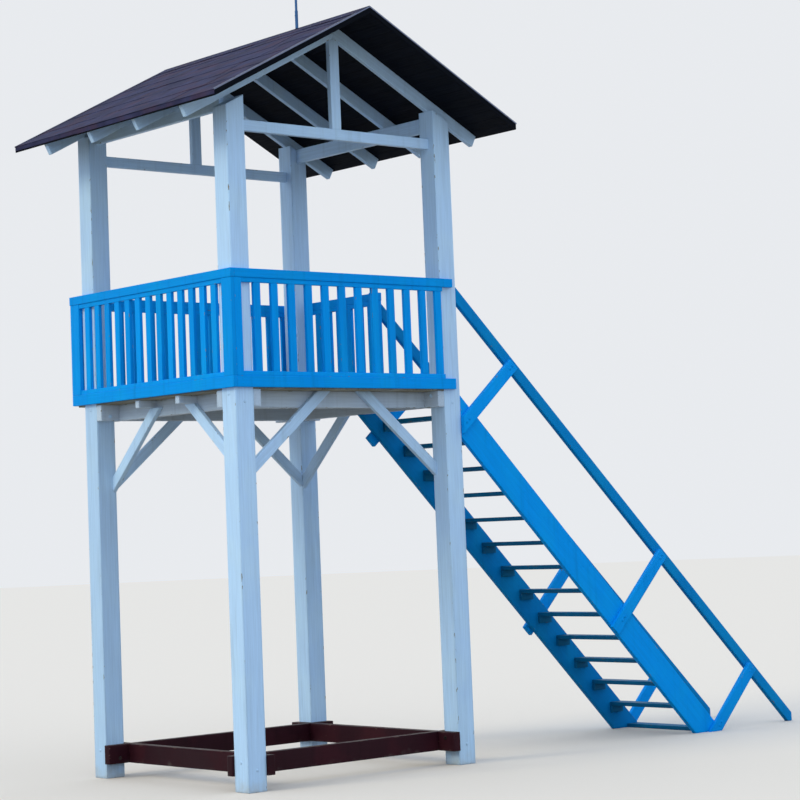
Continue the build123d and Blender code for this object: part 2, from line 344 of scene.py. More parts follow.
# Foot beams
# Four stained beams on the inner faces of the posts, halved where they cross just above the sand.
# Their red-brown stain is nearly black in the shade, and a little sand lies along the tops.
stain = painted("red-brown stain", (0.026, 0.004, 0.008), (0.050, 0.008, 0.012), (0.10, 0.05, 0.04),
                chipping=0.45, streaks=0.2, reach=0.03, settled=0.10, gloss=0.1)
for number, side in enumerate(("front", "back", "left", "right")):
    timber("base_beam_" + side, "foot_beam_" + side, 0.005, 0.015, stain, 20 + number)


# Coach bolts
# Galvanised bolts pass through the beams and the posts. A bolt shows a round washer and a
# hexagonal nut on the beam, finished with it, and a shallow domed head on the post's outer face.
bolt_aside = 0.035


def joined(parts, name):
    """Several objects made one piece."""
    bpy.ops.object.select_all(action="DESELECT")
    for part in parts:
        part.select_set(True)
    bpy.context.view_layer.objects.active = parts[0]
    bpy.ops.object.join()
    parts[0].name = name
    return parts[0]


def twin(piece):
    """A copy of a piece with its own mesh."""
    copy = piece.copy()
    copy.data = piece.data.copy()
    bpy.context.scene.collection.objects.link(copy)
    return copy


def softened(piece):
    """Takes the sharpness off the edges of a small metal piece."""
    only(piece)
    soften = piece.modifiers.new("edge", "BEVEL")
    soften.width = 0.0006
    soften.segments = 1
    bpy.ops.object.modifier_apply(modifier=soften.name)
    return piece


def cylinder(sides, wide, long, place=(0, 0, 0), turn=(0, 0, 0)):
    """A cylinder round its middle, the only object selected."""
    bpy.ops.object.select_all(action="DESELECT")
    bpy.ops.mesh.primitive_cylinder_add(vertices=sides, radius=wide / 2, depth=long, location=place,
                                        rotation=turn)
    return bpy.context.object


def model_nut():
    """Washer, nut and bolt's end, facing along +Z from the origin."""
    washer_thick, nut_thick, end_long = 0.003, 0.009, 0.016
    washer = cylinder(24, 0.038, washer_thick, (0, 0, washer_thick / 2))
    nut = cylinder(6, 0.023, nut_thick, (0, 0, washer_thick + nut_thick / 2))
    end = cylinder(12, 0.010, end_long, (0, 0, washer_thick + end_long / 2))
    joined((washer, nut, end), "nut")
    bpy.ops.object.transform_apply(location=True, rotation=True, scale=True)
    return softened(washer)


def model_head():
    """Shallow domed bolt head, facing along +Z from the origin."""
    cut, sunk = 0.004, 0.0005
    bpy.ops.object.select_all(action="DESELECT")
    bpy.ops.mesh.primitive_uv_sphere_add(segments=16, ring_count=8, radius=0.015)
    head = bpy.context.object
    bpy.ops.object.mode_set(mode="EDIT")
    bpy.ops.mesh.select_all(action="SELECT")
    bpy.ops.mesh.bisect(plane_co=(0, 0, cut), plane_no=(0, 0, 1), clear_inner=True, use_fill=True)
    bpy.ops.mesh.select_all(action="SELECT")
    bpy.ops.transform.translate(value=(0, 0, -cut - sunk))
    bpy.ops.transform.resize(value=(1.05, 1.05, 0.6), center_override=(0, 0, 0))
    bpy.ops.object.mode_set(mode="OBJECT")
    bpy.ops.object.shade_smooth_by_angle(angle=radians(50))
    return head


def set_out(pattern, name, places):
    """Copies of a pattern piece, each turned to face out of its place, joined in one piece."""
    copies = []
    for place, facing in places:
        copy = twin(pattern)
        turn = Vector(facing).to_track_quat("Z", "Y").to_matrix().to_4x4()
        copy.data.transform(Matrix.Translation(place) @ turn)
        copies.append(copy)
    return joined(copies, name)


def worn_metal(name, metal, rust, amount, scale=40.0):
    """Dull or painted metal with rust that starts in patches."""
    material, tree, shader = new_material(name)
    place = put(tree, "TexCoord").outputs["Object"]
    spots = noise(tree, place, (scale,) * 3, 6)
    fine = noise(tree, place, (scale * 9,) * 3, 3)
    rusty = ramp(tree, spots, 0.62 - amount, 0.72 - amount)
    darker = tuple(part * 0.8 for part in metal)
    clean = mixed(tree, fine, (*metal, 1), (*darker, 1))
    tree.links.new(mixed(tree, rusty, clean, (*rust, 1)), shader["Base Color"])
    tree.links.new(ramp(tree, rusty, 0, 1, 0.42, 0.85), shader["Roughness"])
    tree.links.new(ramp(tree, rusty, 0, 1, 0.85, 0.1), shader["Metallic"])
    bumped(tree, shader, fine, 0.4, 0.0004)
    return material


nut_pattern = model_nut()
head_pattern = model_head()
stained_zinc = worn_metal("galvanised steel stained over", (0.060, 0.045, 0.045), (0.080, 0.030, 0.018), 0.1)


def bolted_frame(prefix, name, nut_finish):
    """Nuts on the inner faces of a frame's beams, heads on the outer faces of the posts."""
    nuts, heads = [], []
    for side, axis, inward in (("front", 1, 1), ("back", 1, -1), ("left", 0, 1), ("right", 0, -1)):
        low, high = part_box(prefix + side)
        inner = high[axis] if inward == 1 else low[axis]
        for post_name in ("front_left", "front_right", "back_left", "back_right"):
            if side not in post_name:
                continue
            post_low, post_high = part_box("post_" + post_name)
            middle = (post_low + post_high) / 2
            outer = post_low[axis] if inward == 1 else post_high[axis]
            facing = Vector((0, 0, 0))
            facing[axis] = inward
            height = (low.z + high.z) / 2 + (bolt_aside if axis == 0 else -bolt_aside)
            for found, place_on, way in ((nuts, inner, facing), (heads, outer, -facing)):
                place = Vector((middle.x, middle.y, height))
                place[axis] = place_on
                found.append((place, way))
    fitted(set_out(nut_pattern, name + "_nuts", nuts), nut_finish)
    fitted(set_out(head_pattern, name + "_heads", heads), sky_tinted_white_paint)


bolted_frame("base_beam_", "foot_bolts", stained_zinc)


# Deck frame
# Four beams under the deck, halved where they cross and bolted to the posts, carry two joists let
# into the side beams. They have the posts' white paint, coloured darker and warmer here as painted
# shade and painted bounce light from the sand under the deck.
no_splash = -1.0
# A darker, warmer copy of the white paint: painted shade and painted sand-lit bounce light under the deck.
under_deck_shaded_paint = painted("white paint with painted shade under the deck", (0.60, 0.64, 0.72), (0.65, 0.67, 0.71), grey_wood,
                      chipping=0.32, streaks=0.2, reach=no_splash, settled=0.0, gloss=0.25)
for number, side in enumerate(("front", "back", "left", "right")):
    timber("deck_beam_" + side, "deck_frame_" + side, 0.004, 0.015, under_deck_shaded_paint, 30 + number)
timber("deck_joists", "joists", 0.003, 0.012, under_deck_shaded_paint, 36)
bolted_frame("deck_beam_", "deck_bolts", sky_tinted_white_paint)


# Deck boards
# Nineteen bare softwood boards run from front to back with a narrow gap between them, notched
# round the posts. Each is held by two countersunk screws at every beam and joist it crosses.
def weathered_group():
    """Grain lines, knots and greying of bare or stained timber."""
    tree, inn, out = new_group(
        "weathered timber",
        [("Grain", "Vector"), ("Place", "Vector"), ("Tone", "Float"), ("Arris", "Float"),
         ("Light", "Color"), ("Dark", "Color"), ("Worn", "Color"), ("Greying", "Float")],
        [("Colour", "Color"), ("Roughness", "Float"), ("Height", "Float")])
    bend = noise(tree, inn["Grain"], (1.2, 9, 9), 2)
    pushed = put(tree, "VectorMath", {0: bend, 1: (0.0, 0.05, 0.05)}, operation="MULTIPLY").outputs[0]
    place = put(tree, "VectorMath", {0: inn["Grain"], 1: pushed}, operation="ADD").outputs[0]
    rings = noise(tree, place, (1.6, 85, 85), 3)
    fibre = noise(tree, inn["Grain"], (5, 210, 210), 3)
    knots = noise(tree, inn["Grain"], (7, 16, 16), 1)
    blotch = noise(tree, inn["Place"], (3.5, 3.5, 3.5), 5)
    line = ramp(tree, rings, 0.35, 0.66)
    colour = mixed(tree, line, inn["Light"], inn["Dark"])
    knot = ramp(tree, knots, 0.73, 0.8, 0.0, 0.8)
    colour = mixed(tree, knot, colour, shaded(tree, inn["Dark"], 0.35))
    grey = worked(tree, "MULTIPLY", inn["Greying"], ramp(tree, blotch, 0.3, 0.7))
    colour = mixed(tree, grey, colour, inn["Worn"])
    colour = shaded(tree, colour, spread(tree, inn["Tone"], 0.78, 1.12))
    rubbed = worked(tree, "MULTIPLY", inn["Arris"], ramp(tree, fibre, 0.4, 0.7, 0.0, 0.35))
    tree.links.new(mixed(tree, rubbed, colour, inn["Worn"]), out["Colour"])
    tree.links.new(ramp(tree, fibre, 0.3, 0.7, 0.7, 0.9), out["Roughness"])
    fuzz = worked(tree, "MULTIPLY", fibre, 0.5)
    tree.links.new(worked(tree, "MULTIPLY_ADD", line, -0.5, fuzz), out["Height"])
    return tree


weathered = weathered_group()


def bare_timber(name, light, dark, worn, greying, settled, gloss):
    """Timber with no paint, or with a thin stain that shows the grain."""
    look = {"Light": (*light, 1), "Dark": (*dark, 1), "Worn": (*worn, 1), "Greying": greying}
    return timber_material(name, weathered, look, no_splash, settled, gloss, (0.6, 0.0015))


def cut_away(piece, point, normal):
    """Cuts off what lies in front of a plane and closes the cut."""
    only(piece)
    bpy.ops.object.mode_set(mode="EDIT")
    bpy.ops.mesh.select_all(action="SELECT")
    bpy.ops.mesh.bisect(plane_co=point, plane_no=normal, clear_outer=True, use_fill=True)
    bpy.ops.object.mode_set(mode="OBJECT")


board_count, board_gap = 19, 0.005
deck_low, deck_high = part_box("deck_boards")
board_pitch = (deck_high.x - deck_low.x + board_gap) / board_count
slab = rough_timber("deck_boards", "deck_slab")
planks = []
for number in range(board_count):
    start = deck_low.x + board_pitch * number
    plank = twin(slab)
    if number > 0:
        cut_away(plank, (start, 0, 0), (-1, 0, 0))
    if number < board_count - 1:
        cut_away(plank, (start + board_pitch - board_gap, 0, 0), (1, 0, 0))
    planks.append(plank)
bpy.data.objects.remove(slab)
deck = joined(planks, "deck_planks")
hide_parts("deck_boards")
deck_wood = bare_timber("weathered deck softwood", (0.33, 0.27, 0.18), (0.185, 0.145, 0.095),
                        (0.34, 0.32, 0.28), greying=0.6, settled=0.25, gloss=0.3)
finished(eased(deck, 0.0025, 0.009), deck_wood, 40)


def model_screw():
    """Countersunk screw head with a sunk middle, facing along +Z from the origin."""
    rim, flank, recess = 0.0012, 0.0016, 0.0012
    screw = cylinder(16, 0.0096, 0.002)
    edit_faces(screw, lambda face: face.normal.z > 0.9)
    bpy.ops.mesh.inset(thickness=rim)
    bpy.ops.mesh.inset(thickness=flank)
    bpy.ops.transform.translate(value=(0, 0, -recess))
    bpy.ops.object.mode_set(mode="OBJECT")
    return screw


screw_pattern = model_screw()
rusty_steel = worn_metal("rusty screw heads", (0.36, 0.35, 0.34), (0.19, 0.08, 0.04), 0.12)
joist_half, screw_aside, screw_proud = 0.030, 0.040, 0.0002
screw_rows = []
for node in ("deck_beam_front", "deck_beam_back"):
    low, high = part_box(node)
    screw_rows.append((low.y + high.y) / 2)
joist_low, joist_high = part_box("deck_joists")
screw_rows += [joist_low.y + joist_half, joist_high.y - joist_half]
deck_spots = []
for number in range(board_count):
    middle = deck_low.x + board_pitch * (number + 0.5) - board_gap / 2
    for row in screw_rows:
        for aside in (-screw_aside, screw_aside):
            spot = (middle + aside, row + aside / 10, deck_high.z + screw_proud)
            deck_spots.append((spot, (0, 0, 1)))
fitted(set_out(screw_pattern, "deck_screws", deck_spots), rusty_steel)


# Knee braces
# Seven braces of 100 by 45 mm timber lean from the posts to the deck frame, cut plumb at the
# foot and level at the head. Each end is held by two screws, painted over with the brace.
brace_wide = 0.100
brace_screw_in, brace_screw_aside = 0.075, 0.022
brace_spots = []
for number, name in enumerate(("front_left", "front_right", "back_left", "back_right",
                               "left_front", "left_back", "right_back")):
    timber("brace_" + name, "knee_brace_" + name, 0.004, 0.012, sky_tinted_white_paint, 50 + number)
    low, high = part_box("brace_" + name)
    run, thick = (0, 1) if high.x - low.x > high.y - low.y else (1, 0)
    reach, drop = high[run] - low[run], high.z - low.z
    length = hypot(reach, drop)
    mirrored = name in ("front_right", "back_right", "left_back", "right_back")
    out = -1 if name.startswith(("front", "left")) else 1
    foot_end = (0, brace_wide * length / reach / 2, brace_screw_in)
    head_end = (reach - brace_wide * length / drop / 2, drop, -brace_screw_in)
    for end_along, end_height, inset in (foot_end, head_end):
        for aside in (-brace_screw_aside, brace_screw_aside):
            along = end_along + inset * reach / length - aside * drop / length
            height = end_height + inset * drop / length + aside * reach / length
            spot = Vector((0, 0, low.z + height))
            spot[run] = high[run] - along if mirrored else low[run] + along
            spot[thick] = low[thick] if out < 0 else high[thick]
            facing = Vector((0, 0, 0))
            facing[thick] = out
            brace_spots.append((spot, facing))
fitted(set_out(screw_pattern, "brace_screws", brace_spots), sky_tinted_white_paint)


# Railing
# Each side is a panel of blue boards on the outer faces of the posts: a bottom board, upright
# balusters nailed between two strips, and a cap board on edge. Wider boards close the corners.
cap_height, cap_thick = 0.080, 0.045
strip_height, strip_thick = 0.042, 0.036
bottom_low, bottom_high, bottom_thick = 3.515, 3.615, 0.040
rail_top = 4.565
cap_low = rail_top - cap_height
baluster_wide, baluster_thick = 0.076, 0.034
half_board = baluster_wide / 2
corner_side, corner_front, end_short = 0.145, 0.075, 0.075
first_space, last_space, side_space = 0.138, 0.017, 0.097
back_right_space, back_left_space = 0.005, 0.031
gate_end_wide, gate_space = 0.075, 0.027
nail_in, nail_aside = 0.018, 0.022
long_nails, long_nail_in = 6, 0.060
railing_nails = []


def board(x0, x1, y0, y1, z0, z1):
    """One board between two corners."""
    bpy.ops.object.select_all(action="DESELECT")
    middle = ((x0 + x1) / 2, (y0 + y1) / 2, (z0 + z1) / 2)
    bpy.ops.mesh.primitive_cube_add(size=1, location=middle, scale=(x1 - x0, y1 - y0, z1 - z0))
    bpy.ops.object.transform_apply(location=True, rotation=True, scale=True)
    return bpy.context.object


def panel(length, start, end, first, last, count, board_in=0.0):
    """Boards and nails of a panel along X, its inner face on Y 0 and its boards towards -Y."""
    foot, head = bottom_high + strip_height, cap_low - strip_height
    parts = [
        board(board_in, length - board_in, -bottom_thick, 0, bottom_low, bottom_high),
        board(0, length, -cap_thick, 0, cap_low, rail_top),
        board(start, end, -strip_thick, 0, bottom_high, foot),
        board(start, end, -strip_thick, 0, head, cap_low),
    ]
    nails = []
    for number in range(count):
        middle = first + (last - first) * number / (count - 1)
        parts.append(board(middle - half_board, middle + half_board, -baluster_thick, 0, foot, head))
        nails.append((middle, -baluster_thick, foot + nail_in))
        nails.append((middle, -baluster_thick, head - nail_in))
        nails.append((middle, -strip_thick, foot - strip_height / 2))
        nails.append((middle, -strip_thick, head + strip_height / 2))
    for number in range(long_nails):
        along = long_nail_in + (length - 2 * long_nail_in) * number / (long_nails - 1)
        for aside in (-nail_aside, nail_aside):
            nails.append((along, -bottom_thick, (bottom_low + bottom_high) / 2 + aside))
            nails.append((along, -cap_thick, rail_top - cap_height / 2 + aside))
    return parts, nails


def placed(parts, nails, x, y, turn):
    """Parts turned about Z and moved to their place, and their nails listed with them."""
    move = Matrix.Translation((x, y, 0)) @ Matrix.Rotation(radians(turn), 4, "Z")
    for part in parts:
        part.data.transform(move)
    for nail in nails:
        railing_nails.append((move @ Vector(nail), move.to_3x3() @ Vector((0, -1, 0))))


blue_paint = painted("blue paint", (0.0, 0.33, 0.83), (0.004, 0.37, 0.81), (0.22, 0.22, 0.21),
                     chipping=0.22, streaks=0.2, reach=no_splash, settled=0.06, gloss=0.05)
left_x, front_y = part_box("post_front_left")[0].xy
right_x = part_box("post_front_right")[1].x
back_y = deck_high.y
run_x, run_y = right_x - left_x, back_y - front_y
side_in = corner_side - bottom_thick

front_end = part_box("post_front_right")[0].x - left_x
front_parts, nails = panel(run_x - end_short, corner_front, front_end,
                           corner_front + first_space + half_board,
                           front_end - last_space - half_board, count=12)
placed(front_parts, nails, left_x, front_y, 0)

back_run = run_x + cap_thick
back_start, back_end = corner_front + cap_thick, back_run - corner_front
back_parts, nails = panel(back_run, back_start, back_end, back_start + back_right_space + half_board,
                          back_end - back_left_space - half_board, count=14)
placed(back_parts, nails, left_x + back_run, back_y, 180)

left_start, left_end = side_in + cap_thick, run_y - side_in + cap_thick
left_parts, nails = panel(run_y + 2 * cap_thick, left_start, left_end,
                          left_start + side_space + half_board, left_end - side_space - half_board,
                          count=13, board_in=cap_thick - bottom_thick)
placed(left_parts, nails, left_x, back_y + cap_thick, -90)

gate_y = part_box("gate_post")[0].y
gate_run = back_y - gate_y
gate_end = gate_run - side_in
right_parts, nails = panel(gate_run, gate_end_wide, gate_end, gate_end_wide + gate_space + half_board,
                           gate_end - side_space - half_board, count=7)
right_parts.append(board(0, gate_end_wide, -bottom_thick, 0, bottom_high, cap_low))
placed(right_parts, nails, right_x, gate_y, 90)

corner_parts = []
for x, way_x, y, way_y in ((left_x, -1, front_y, -1), (left_x, -1, back_y, 1), (right_x, 1, back_y, 1)):
    along_y = sorted((y + way_y * bottom_thick, y - way_y * side_in))
    out_x = sorted((x, x + way_x * bottom_thick))
    along_x = sorted((x, x - way_x * corner_front))
    out_y = sorted((y, y + way_y * bottom_thick))
    corner_parts.append(board(*out_x, *along_y, bottom_high, cap_low))
    corner_parts.append(board(*along_x, *out_y, bottom_high, cap_low))

for number, (side, parts) in enumerate((("front", front_parts), ("back", back_parts), ("left", left_parts),
                                        ("right", right_parts), ("corners", corner_parts))):
    railing = joined(parts, "railing_boards_" + side)
    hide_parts("railing_" + side)
    finished(eased(railing, 0.003, 0.007), blue_paint, 60 + 20 * number)
timber("gate_post", "opening_post", 0.004, 0.012, blue_paint, 170)

nail_wide, nail_thick = 0.010, 0.0016
nail_pattern = softened(cylinder(12, nail_wide, nail_thick))
fitted(set_out(nail_pattern, "railing_nails", railing_nails), blue_paint)


# Roof frame
# Plates on the posts, two tie beams with king posts, and four pairs of rafters that meet at the
# ridge under the boards. All of it is planed softwood with the posts' white paint.
for number, (node, name) in enumerate((("top_plates", "wall_plates"), ("tie_beam_front", "tie_front"),
                                       ("tie_beam_back", "tie_back"), ("king_posts", "kings"),
                                       ("rafters_left", "rafter_row_left"),
                                       ("rafters_right", "rafter_row_right"))):
    timber(node, name, 0.003, 0.012, sky_tinted_white_paint, 180 + 4 * number)


# Roof
# Tongued boards run from gable to gable over the rafters, nearly black underneath: a dark stain
# with painted shade under the roof. Courses of mineral felt lap up to a ridge strip and turn down
# at the eaves; a metal strip edges the gables.
ridge_height, pitch, roof_thick = 6.980, 0.522, 0.060
roof_low, roof_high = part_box("roof_left")[0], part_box("roof_right")[1]
middle_x = (left_x + right_x) / 2
eave_run = roof_high.x - middle_x
slope = eave_run * hypot(1, pitch)
lean = Vector((1, 0, -pitch)).normalized()
past_cut = 0.040
roof_rows, roof_board_thick, roof_board_joint, roof_boards_in = 17, 0.046, 0.002, 0.022
barge_in, barge_thick = 0.003, 0.018
felt_rows, felt_bed, felt_thick, felt_in, felt_past = 6, 0.012, 0.0025, 0.008, 0.020
course, course_lap, side_lap = 0.345, 0.070, 0.050
first_joint, first_step, last_joint, last_step = 1.05, 0.37, 0.75, 0.20
course_low, course_high = -0.0125, -0.0085
folds_long, fold_deep, fold_uneven, fold_joint = 3, 0.036, 0.004, 0.001
fold_room, fold_inner, fold_outer = 0.006, 0.0055, 0.002
strip_sheets, strip_wide, strip_in = 4, 0.170, 0.004
strip_top, strip_edge, strip_uneven = -0.0035, -0.0045, 0.002
trim_thick, trim_wide = 0.002, 0.028
trim_low, trim_flange_low, trim_high = -0.013, -0.003, -0.001
clout_start, clout_in, clout_sunk = 0.100, 0.014, 0.0008
gable_clouts, gable_clout_pitch = 13, 0.150
strip_clouts, strip_clout_pitch, strip_clout_down, strip_clout_up = 21, 0.155, 0.145, 0.003


def slope_ways(way):
    """The way down a slope and the way straight out of it."""
    return Vector((way * lean.x, 0, lean.z)), Vector((-way * lean.z, 0, lean.x))


def laid_on_slope(parts, name, way, back=0.0):
    """Joins parts made flat, lays them on a slope and cuts them plumb at the ridge and the eave.

    The cut at the eave is set back by the thickness of what is turned down over it.
    """
    piece = joined(parts, name)
    down, up = slope_ways(way)
    turn = Matrix((down, up.cross(down), up)).transposed().to_4x4()
    piece.data.transform(Matrix.Translation((middle_x, 0, ridge_height)) @ turn)
    cut_away(piece, (middle_x, 0, 0), (-way, 0, 0))
    cut_away(piece, (middle_x + way * (eave_run - back), 0, 0), (way, 0, 0))
    return piece


def felt_sheet(x0, x1, y0, y1, low, high):
    """One sheet of felt between two distances down the slope, low at its upper edge."""
    bpy.ops.object.select_all(action="DESELECT")
    bpy.ops.mesh.primitive_grid_add(x_subdivisions=8, y_subdivisions=24, size=1)
    sheet = bpy.context.object
    for corner in sheet.data.vertices:
        share = corner.co.x + 0.5
        corner.co.z = low + (high - low) * share
        corner.co.x = x0 + (x1 - x0) * share
        corner.co.y = y0 + (y1 - y0) * (corner.co.y + 0.5)
    wave = sheet.modifiers.new("wave", "DISPLACE")
    wave.texture = felt_wave
    wave.strength = 0.005
    thick = sheet.modifiers.new("thickness", "SOLIDIFY")
    thick.thickness = felt_thick
    thick.offset = 1
    for modifier in (wave, thick):
        bpy.ops.object.modifier_apply(modifier=modifier.name)
    return sheet


def felt_material():
    """Mineral felt: fine granules, faded and ruddy patches and darker streaks down the slope."""
    dark, faded = (0.025, 0.022, 0.056, 1), (0.048, 0.043, 0.094, 1)
    ruddy, wet = (0.074, 0.034, 0.056, 1), (0.019, 0.023, 0.050, 1)
    material, tree, shader = new_material("mineral felt")
    place = put(tree, "TexCoord").outputs["Object"]
    tone = put(tree, "Attribute", attribute_name="tone").outputs["Fac"]
    granules = noise(tree, place, (190, 190, 190), 2)
    patches = noise(tree, place, (4.2, 4.2, 4.2), 8)
    warm = noise(tree, place, (6.1, 3.3, 6.1), 7)
    streaks = noise(tree, place, (1.1, 9, 1.1), 4)
    colour = mixed(tree, ramp(tree, patches, 0.34, 0.66), dark, faded)
    colour = mixed(tree, ramp(tree, warm, 0.46, 0.66, 0.0, 0.5), colour, ruddy)
    colour = mixed(tree, ramp(tree, streaks, 0.5, 0.75, 0.0, 0.45), colour, wet)
    grain = ramp(tree, granules, 0.3, 0.7, 0.8, 1.25)
    shade = worked(tree, "MULTIPLY", spread(tree, tone, 0.94, 1.06), grain)
    tree.links.new(shaded(tree, colour, shade), shader["Base Color"])
    tree.links.new(ramp(tree, patches, 0.3, 0.7, 0.82, 0.95), shader["Roughness"])
    shader["Specular IOR Level"].default_value = 0.15
    bumped(tree, shader, granules, 0.6, 0.0012)
    return material


felt_wave = bpy.data.textures.new("felt wave", "CLOUDS")
felt_wave.noise_scale = 0.22
felt = felt_material()
# The boards' near-black colour is partly a dark stain and partly painted shade under the roof.
near_black_shaded_boards = bare_timber("near-black boards with painted shade", (0.004, 0.005, 0.009), (0.001, 0.002, 0.005),
                           (0.012, 0.013, 0.019), greying=0.15, settled=0.0, gloss=0.06)
edge_strip = worn_metal("grey edge strip", (0.21, 0.245, 0.37), (0.14, 0.10, 0.10), 0.0, 14.0)
slopes = ((-1, "left", 200, 260, 320), (1, "right", 230, 290, 330))
felt_nails = []
for way, side, board_seed, felt_seed, strip_seed in slopes:
    y0, y1 = sorted((way * roof_low.y, way * roof_high.y))
    parts = []
    wide = (slope + 2 * past_cut) / roof_rows
    for number in range(roof_rows):
        start = wide * number - past_cut
        parts.append(board(start, start + wide - roof_board_joint, y0 + roof_boards_in, y1 - roof_boards_in,
                           -roof_thick, roof_board_thick - roof_thick))
    for start in (y0 + barge_in, y1 - barge_in - barge_thick):
        parts.append(board(-past_cut, slope + past_cut, start, start + barge_thick, -roof_thick, -felt_bed))
    boards = laid_on_slope(parts, "roof_boards_" + side, way, fold_room)
    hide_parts("roof_" + side)
    finished(eased(boards, 0.0015, 0.006), near_black_shaded_boards, board_seed)

    parts = []
    for row in range(felt_rows):
        low_end = slope + felt_past - course * row
        high_end = max(low_end - course - course_lap, -felt_past)
        splits = (y0 + felt_in, y0 + first_joint + first_step * (row % 3),
                  y1 - last_joint + last_step * (row % 2), y1 - felt_in)
        for number in range(len(splits) - 1):
            raised = felt_thick * (number % 2)
            over = side_lap if number else 0.0
            parts.append(felt_sheet(high_end, low_end, splits[number] - over, splits[number + 1],
                                    course_low + raised, course_high + raised))
    covering = laid_on_slope(parts, "felt_courses_" + side, way)
    outer = sorted((middle_x + way * (eave_run - fold_inner), middle_x + way * (eave_run - fold_outer)))
    eave_top = ridge_height - pitch * eave_run - felt_bed
    length = (y1 - y0 - 2 * felt_in) / folds_long
    folds = []
    for number in range(folds_long):
        start = y0 + felt_in + length * number
        folds.append(board(*outer, start, start + length - fold_joint,
                           eave_top - fold_deep - fold_uneven * (number % 2), eave_top))
    covering = joined([covering] + folds, "felt_courses_" + side)

    parts = []
    length = (y1 - y0) / strip_sheets
    for number in range(strip_sheets):
        start = y0 + length * number
        end = start + length + (side_lap if number < strip_sheets - 1 else -strip_in)
        raised = strip_uneven * (number % 2)
        parts.append(felt_sheet(-felt_past, strip_wide, start + strip_in, end,
                                strip_top + raised, strip_edge + raised))
    strip = laid_on_slope(parts, "ridge_strip_" + side, way)
    for piece, seed in ((covering, felt_seed), (strip, strip_seed)):
        only(piece)
        bpy.ops.object.shade_smooth_by_angle(angle=radians(25))
        finished(piece, felt, seed)

    parts = []
    for edge, inward in ((y0, 1), (y1, -1)):
        upright = sorted((edge, edge + inward * trim_thick))
        flange = sorted((edge, edge + inward * trim_wide))
        parts.append(board(-past_cut, slope + past_cut, *upright, trim_low, trim_high))
        parts.append(board(-past_cut, slope + past_cut, *flange, trim_flange_low, trim_high))
    fitted(laid_on_slope(parts, "gable_strips_" + side, way), edge_strip)

    down, up = slope_ways(way)
    top = Vector((middle_x, 0, ridge_height))
    for number in range(gable_clouts):
        for across in (roof_low.y + clout_in, roof_high.y - clout_in):
            place = top + down * (clout_start + gable_clout_pitch * number) - up * clout_sunk
            felt_nails.append((place + Vector((0, across, 0)), up))
    for number in range(strip_clouts):
        across = roof_low.y + clout_start + strip_clout_pitch * number
        place = top + down * strip_clout_down + up * strip_clout_up
        felt_nails.append((place + Vector((0, across, 0)), up))

fitted(set_out(nail_pattern, "felt_clouts", felt_nails), rusty_steel)


# Mast
# A thin steel tube, narrower above its middle, stands on the ridge for the flag. It has a socket
# with a set screw at its foot, a collar near the top and a small ring above it for the halyard.
mast_low, mast_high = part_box("mast")
mast_x, mast_y = (mast_low.x + mast_high.x) / 2, (mast_low.y + mast_high.y) / 2
socket_wide, socket_long, socket_rim = 0.030, 0.170, 0.003
set_screw_up, halyard_ring_down = 0.12, 0.03
mast_steps = ((0.46, 1.0), (0.02, 0.85), (0.56, 1.0), (0.008, 1.2), (0.012, 1.0), (0.008, 0.7))
mast = cylinder(24, socket_wide, socket_long, (mast_x, mast_y, mast_low.z + socket_long / 2))
bpy.ops.object.transform_apply(location=True, rotation=True, scale=True)
edit_faces(mast, lambda face: face.normal.z > 0.9)
bpy.ops.mesh.inset(thickness=socket_rim)
for rise, narrow in mast_steps:
    bpy.ops.mesh.extrude_region_move(TRANSFORM_OT_translate={"value": (0, 0, rise)})
    bpy.ops.transform.resize(value=(narrow, narrow, 1))
tip_long = mast_high.z - mast_low.z - socket_long - sum(rise for rise, narrow in mast_steps)
bpy.ops.mesh.extrude_region_move(TRANSFORM_OT_translate={"value": (0, 0, tip_long)})
bpy.ops.object.mode_set(mode="OBJECT")
bpy.ops.object.shade_smooth_by_angle(angle=radians(40))
set_screw = cylinder(6, 0.008, 0.008, (mast_x - 0.016, mast_y, mast_low.z + set_screw_up),
                     (0, radians(90), 0))
bpy.ops.mesh.primitive_torus_add(major_segments=20, minor_segments=8, major_radius=0.009, minor_radius=0.002,
                                 rotation=(radians(90), 0, 0),
                                 location=(mast_x - 0.019, mast_y, mast_high.z - halyard_ring_down))
halyard_ring = bpy.context.object
for fitting in (set_screw, halyard_ring):
    only(fitting)
    bpy.ops.object.transform_apply(location=True, rotation=True, scale=True)
mast = joined((mast, set_screw, halyard_ring), "flag_mast")
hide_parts("mast")
mast_paint = worn_metal("blue-grey mast paint", (0.05, 0.14, 0.33), (0.10, 0.08, 0.07), -0.02, 18.0)
fitted(mast, mast_paint)


# Stair
# Two blue stringers at 45 degrees hold fourteen treads on cleats, with screws through the
# stringers into the treads, painted over. The treads and cleats are a much darker blue, which is
# painted shade, and the paint is rubbed off along the treads' edges.
# A darker copy of the blue paint is painted shade; the far stringer and the handrails are the same blue as
# the rest.
shaded_blue_paint = painted("blue paint darkened as painted shade", (0.0, 0.23, 0.55), (0.004, 0.27, 0.55), (0.20, 0.20, 0.19),
                      chipping=0.25, streaks=0.2, reach=no_splash, settled=0.05, gloss=0.05)
for number, (side, coat) in enumerate((("near", blue_paint), ("far", shaded_blue_paint))):
    timber("stringer_" + side, "stair_string_" + side, 0.005, 0.018, coat, 340 + number)
# The treads' and cleats' dark blue is painted shade; their chipped edges are real wear.
shaded_tread_paint = painted("trodden blue paint darkened as painted shade", (0.001, 0.13, 0.26), (0.006, 0.16, 0.29), (0.11, 0.13, 0.13),
                      chipping=0.4, streaks=0.2, reach=-0.2, settled=0.05, gloss=0.1)
timber("treads", "stair_treads", 0.006, 0.014, shaded_tread_paint, 350)
timber("tread_cleats", "stair_cleats", 0.003, 0.009, shaded_tread_paint, 370)

